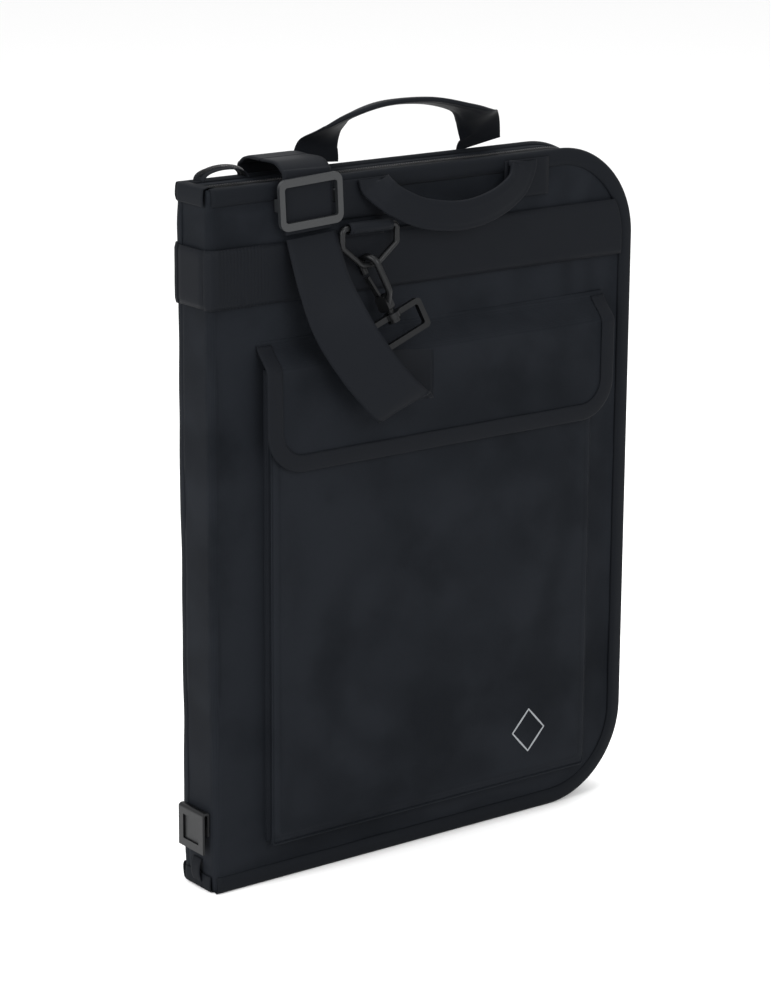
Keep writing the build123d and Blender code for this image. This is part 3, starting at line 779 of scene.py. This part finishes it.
# ---------------------------------------------------------------- Shoulder strap
# One long 38 mm webbing clipped to a ring on each tray; it runs over the top and hangs in a loop each side.
# The hanging loop is doubled, so its inner layer shows dark between the two edges.
left = -wide
strap_route = [(left + x / 1000, y / 1000, top + z / 1000) for x, y, z in
               ((73, 4.6, -35.7), (75, 16.6, -66), (81, 28.6, -93), (95, 35.6, -118), (109, 39.1, -136),
                (118, 39.6, -145), (125, 35.6, -148.5), (129.5, 29.6, -145), (133.5, 25.1, -129),
                (136.4, 20.8, -115.2))]
strap_across = [(1, -0.1, -0.12), (0.97, -0.2, -0.08), (0.86, -0.45, 0.14), (0.84, -0.48, 0.22),
                (0.80, -0.48, 0.33), (0.74, -0.42, 0.5), (0.74, -0.42, 0.5), (0.78, -0.38, 0.47),
                (0.84, -0.32, 0.4), (0.88, -0.28, 0.35)]
arch_route = [(left + x / 1000, y / 1000, top + z / 1000) for x, y, z in
              ((72, 4.6, -32.8), (70.2, 4.6, 1), (70, 2.1, 7), (70, -5.4, 11),
               (70, 0.6 - face_out * 1000, 11))]
arch_out = [(0, 1, 0), (0, 1, 0.1), (0, 0.7, 0.7), (0, 0.2, 1), (0, 0, 1)]


def web_point(side, route, facing, u, v):
    """A point of a flat webbing on one side of the bag, with a thicker woven edge."""
    mirrored = [(x, side * (face_out + y), z) for x, y, z in route]
    turned = [(x, side * y, z) for x, y, z in facing]
    centre, across, out = web_frame(mirrored, turned, v)
    rim = 0.0003 * ease(min(u, 1 - u) / 0.06)
    return centre + across * (u - 0.5) * 0.0376 + out * rim


def loop_point(side, u, v):
    """A point of the hanging loop, whose webbing keeps its own width direction through the fold."""
    mirrored = [(x, side * (face_out + y), z) for x, y, z in strap_route]
    widthwise = [(x, -side * y, z) for x, y, z in strap_across]
    centre = Vector(glide(mirrored, v))
    ahead = Vector(glide(mirrored, min(v + 0.004, 1))) - Vector(glide(mirrored, max(v - 0.004, 0)))
    ahead.normalize()
    across = Vector(glide(widthwise, v))
    across = (across - ahead * across.dot(ahead)).normalized()
    rim = 0.0003 * ease(min(u, 1 - u) / 0.06)
    return centre + across * (u - 0.5) * 0.0376 + ahead.cross(across) * rim


loop_web = pitch_ribs(webbing, "loop_webbing", 130)
arch_web = pitch_ribs(webbing, "arch_webbing", 55)


def web_length(place):
    """How long a webbing is, measured down its middle."""
    marks = [place(0.5, k / 200) for k in range(201)]
    return sum((b - a).length for a, b in zip(marks, marks[1:]))


for side, tray in ((-1, "front"), (1, "back")):
    hang = lambda u, v: loop_point(side, u, v)
    over = lambda u, v: web_point(side, arch_route, arch_out, u, v)
    loop = skin(f"{tray}_strap_web", 14, 200, hang, loop_web, 0.0014, body=f"{tray}_strap", offset=0.0)
    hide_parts(f"{tray}_strap_loop")
    web_length(hang)
    run = skin(f"{tray}_arch_web", 14, 100, over, arch_web, 0.0014, body=f"{tray}_half", offset=0.0)
    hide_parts(f"{tray}_strap_run")
    web_length(over)

# ---------------------------------------------------------------- Ring tabs
# A short webbing folded round the straight bar of each D-ring and sewn to the band.
# It wraps the bar closely and its two ends lie together on the tray.
ring_x, ring_z, ring_out = -0.0585, 0.436, face_out + 0.0086
tab_web = pitch_ribs(webbing, "tab_webbing", 20)


def tab_point(side, u, v):
    """A point of one tab: up from the band, round the bar and back down."""
    bend = 0.0034
    if v < 0.3:
        y, z = face_out + 0.0009, ring_z - 0.0085 + v / 0.3 * 0.0075
    elif v < 0.42:
        f = (v - 0.3) / 0.12
        y, z = face_out + 0.0009 + f * (ring_out - face_out - 0.0009 - bend * 0.6), ring_z - 0.001 + f * 0.002
    else:
        a = (v - 0.42) / 0.58 * 2 * math.pi - math.pi * 0.85
        y, z = ring_out + bend * math.cos(a), ring_z + bend * math.sin(a)
    return Vector((ring_x + (u - 0.5) * 0.034, side * y, z))


for side, tray in ((-1, "front"), (1, "back")):
    tab = skin(f"{tray}_ring_web", 10, 60, lambda u, v: tab_point(side, u, v), tab_web, 0.0010,
               body=f"{tray}_half", offset=0.0)
    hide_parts(f"{tray}_ring_tab")

# ---------------------------------------------------------------- Linings and stick sleeves
# A smooth black lining glued inside each tray, and over it a row of open-topped sleeves sewn from one cloth,
# which swells between its seams where the sticks go.
lining_cloth = woven_cloth("lining_taffeta", (0.0059, 0.0063, 0.0076), (0.0101, 0.0109, 0.0130), 620, 0.5,
                           0.15, 0.1)
sleeve_seams = 8


def inside_point(low, high, y, puff, u, v):
    """A point of a sheet inside a tray, u across and v up, pushed out between the seams by puff."""
    z = low[2] + v * (high[2] - low[2])
    x = low[0] + u * (min(high[0], tray_reach(z, 0.006)) - low[0])
    swell = abs(math.sin(u * sleeve_seams * math.pi)) ** 0.7 * ease(min(v, 1 - v + 0.3) / 0.1)
    return Vector((x, y + puff * swell, z))


for side, tray in ((-1, "front"), (1, "back")):
    low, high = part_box(f"{tray}_lining")
    level = (low[1] + high[1]) / 2
    sheet = skin(f"{tray}_inner_lining", 60, 90, lambda u, v: inside_point(low, high, level, 0, u, v),
                 lining_cloth, 0.0005, body=f"{tray}_half", offset=0.0)
    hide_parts(f"{tray}_lining")
    low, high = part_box(f"{tray}_stick_sleeves")
    near = high[1] if side < 0 else low[1]
    depth = high[1] - low[1]
    wall = near + side * depth * 0.75
    sleeves = skin(f"{tray}_sleeve_cloth", 160, 80,
                   lambda u, v: inside_point(low, high, wall, -side * depth * 0.6, u, v),
                   lining_cloth, 0.0006, body=f"{tray}_half", offset=0.0)
    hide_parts(f"{tray}_stick_sleeves")

# ---------------------------------------------------------------- Pocket closure
# A hook strip inside the flap and a loop strip on the pocket, each edge-sewn; the pile stands as a fine fuzz.
pile = woven_cloth("closure_pile", (0.0042, 0.0046, 0.0055), (0.0092, 0.0101, 0.0118), 1400, 0.85, 0.9, 0.1)


def strip_point(low, high, u, v):
    """A point of a closure strip, slightly domed by its pile."""
    x = low[0] + u * (high[0] - low[0])
    z = low[2] + v * (high[2] - low[2])
    dome = ease(min(u, 1 - u) / 0.03) * ease(min(v, 1 - v) / 0.15)
    return Vector((x, (low[1] + high[1]) / 2 - 0.0002 * dome, z))


for node, body in (("closure_hook_strip", "pocket_flap"), ("closure_loop_strip", "front_half")):
    low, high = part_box(node)
    strip = skin(f"{node}_pile", 60, 16, lambda u, v: strip_point(low, high, u, v), pile, 0.0006,
                 body=body, offset=0.0)
    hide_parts(node)

# ---------------------------------------------------------------- Metal and plastic fittings
# Bent wire D-rings and cast swivel hooks in black enamel, the bent steel plate on the spine, and moulded
# nylon for the strap adjuster. Bare edges are eased and the enamel is a little worn and uneven.


def enamel(name, colour, rough, metallic):
    """Black enamel or moulded plastic with slight unevenness in gloss and surface."""
    material = plain_material(name, colour, rough)
    nodes, links = material.node_tree.nodes, material.node_tree.links
    shader = nodes["Principled BSDF"]
    shader.inputs["Metallic"].default_value = metallic
    place = nodes.new("ShaderNodeTexCoord")
    grain = nodes.new("ShaderNodeTexNoise")
    grain.inputs["Scale"].default_value = 350
    grain.inputs["Detail"].default_value = 4
    links.new(place.outputs["Object"], grain.inputs["Vector"])
    gloss = nodes.new("ShaderNodeMapRange")
    gloss.inputs["To Min"].default_value = rough - 0.08
    gloss.inputs["To Max"].default_value = rough + 0.12
    links.new(grain.outputs["Fac"], gloss.inputs["Value"])
    links.new(gloss.outputs["Result"], shader.inputs["Roughness"])
    relief = nodes.new("ShaderNodeBump")
    relief.inputs["Strength"].default_value = 0.15
    relief.inputs["Distance"].default_value = 0.0001
    links.new(grain.outputs["Fac"], relief.inputs["Height"])
    links.new(relief.outputs["Normal"], shader.inputs["Normal"])
    return material


black_enamel = enamel("black_enamel", (0.0050, 0.0055, 0.0063), 0.35, 0.6)
moulded = enamel("moulded_nylon", (0.0076, 0.0088, 0.0101), 0.45, 0.0)
metal_nodes = ["rim_hook"] + [f"{tray}_{part}" for tray in ("front", "back")
                              for part in ("d_ring", "swivel_base", "snap_hook", "hook_gate")]
plastic_nodes = ["strap_adjuster", "upper_zip_slider", "lower_zip_slider", "upper_zip_pull", "lower_zip_pull"]
for group, finish in ((metal_nodes, black_enamel), (plastic_nodes, moulded)):
    for node in group:
        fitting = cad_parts[node]
        for holder in fitting.material_slots:
            holder.material = finish
        if not fitting.material_slots:
            fitting.data.materials.append(finish)
        eased = fitting.modifiers.new("eased_edges", "BEVEL")
        eased.width = 0.0003
        eased.segments = 2
        eased.limit_method = "ANGLE"

# ---------------------------------------------------------------- Pocket mark
# A small pale woven patch low on the pocket, with a plain diamond outline that stands for nothing.
mark_web = plain_material("mark_thread", (0.20, 0.21, 0.22), 0.8)


def mark_point(u, v):
    """A point round the diamond outline, u across its narrow line and v round it."""
    angle = v * 2 * math.pi
    c, s = math.cos(angle), math.sin(angle)
    reach = 0.014 / (abs(c) + abs(s)) - (u - 0.5) * 0.0012
    x, z = 0.081 + reach * c, 0.065 + reach * s * 1.1
    near = pocket_point((x + 0.136) / 0.270, (z - 0.028) / 0.322)
    return Vector((x, near.y - 0.0003, z))


mark = skin("pocket_mark", 3, 96, mark_point, mark_web, 0.0004, body="front_half", offset=1.0)
